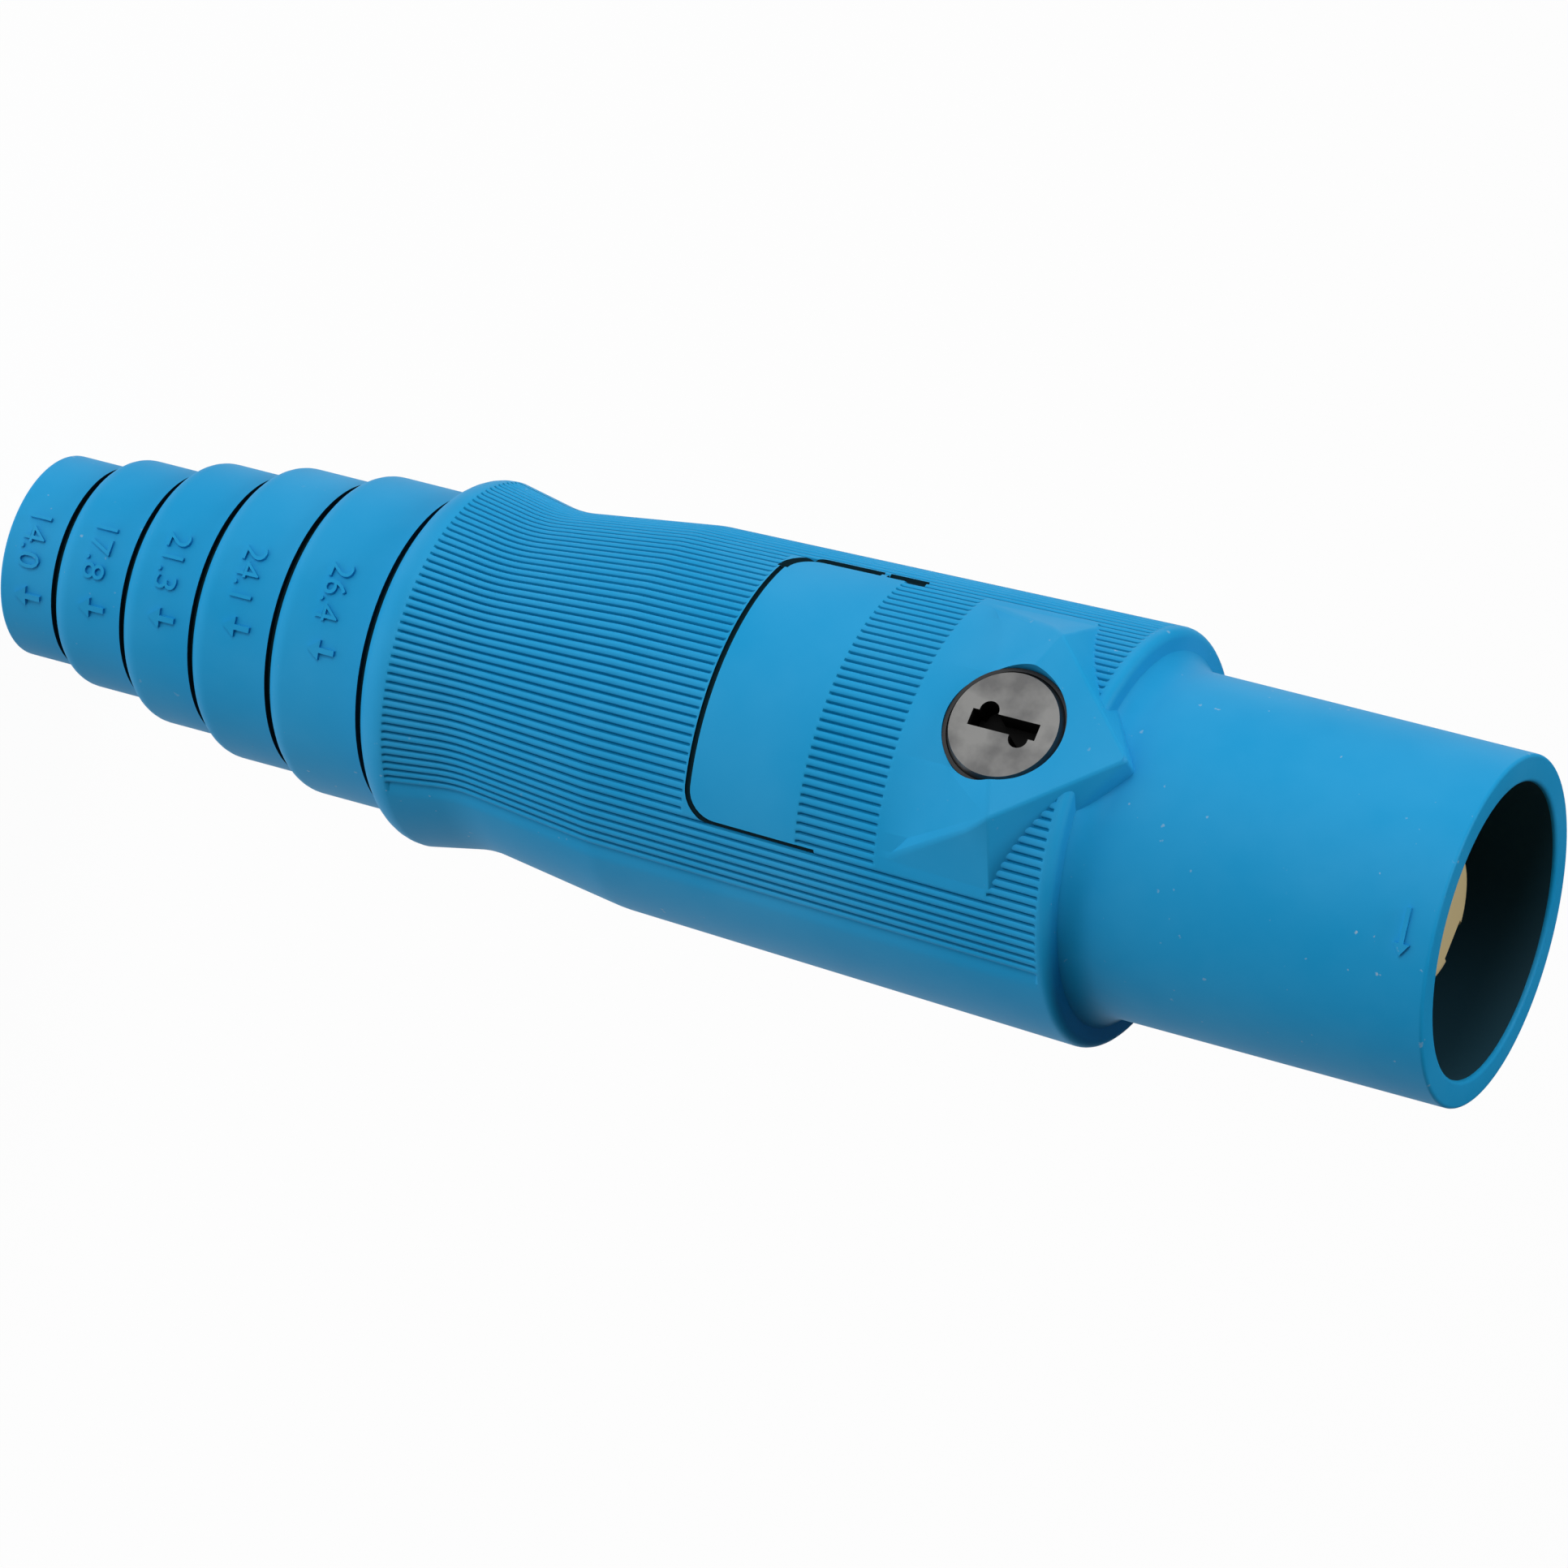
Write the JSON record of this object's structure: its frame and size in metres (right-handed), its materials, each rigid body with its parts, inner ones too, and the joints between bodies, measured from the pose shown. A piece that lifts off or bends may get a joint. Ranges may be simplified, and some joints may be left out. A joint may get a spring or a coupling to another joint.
{
  "type": "cam-lock plug",
  "caption": "Single-pole cam-lock power plug: moulded insulating sleeve with a stepped cable tail, a recessed brass pin in an open barrel, and a quarter-turn contact lock.",
  "frame": {"origin": "on the plug's axis at the cable end, which it stands on", "axes": "+Z along the plug's axis out of the mouth, the lock faces -Y"},
  "size_m": [0.046, 0.0476, 0.1775],
  "materials": {
    "sleeve_elastomer": "satin moulded blue elastomer",
    "contact_brass": "machined brass",
    "screw_steel": "blackened steel",
    "lock_steel": "dull sintered steel",
    "bushing_plastic": "black moulded plastic",
    "spring_steel": "bright spring steel",
    "seal_rubber": "black rubber"
  },
  "bodies": {
    "plug": {"insulator_sleeve": "sleeve_elastomer", "male_contact": "contact_brass", "set_screws": "screw_steel", "lock_bushing": "bushing_plastic", "spring_washer": "spring_steel"},
    "lock": {"lock_cylinder": "lock_steel", "seal_ring": "seal_rubber", "retaining_clip": "spring_steel"}
  },
  "joints": [
    {"name": "lock_turn", "type": "hinge", "parent": "plug", "child": "lock", "pos_m": [0, -0.02, 0.1271], "axis": [0, -1, 0], "range_deg": [0, 90]}
  ]
}
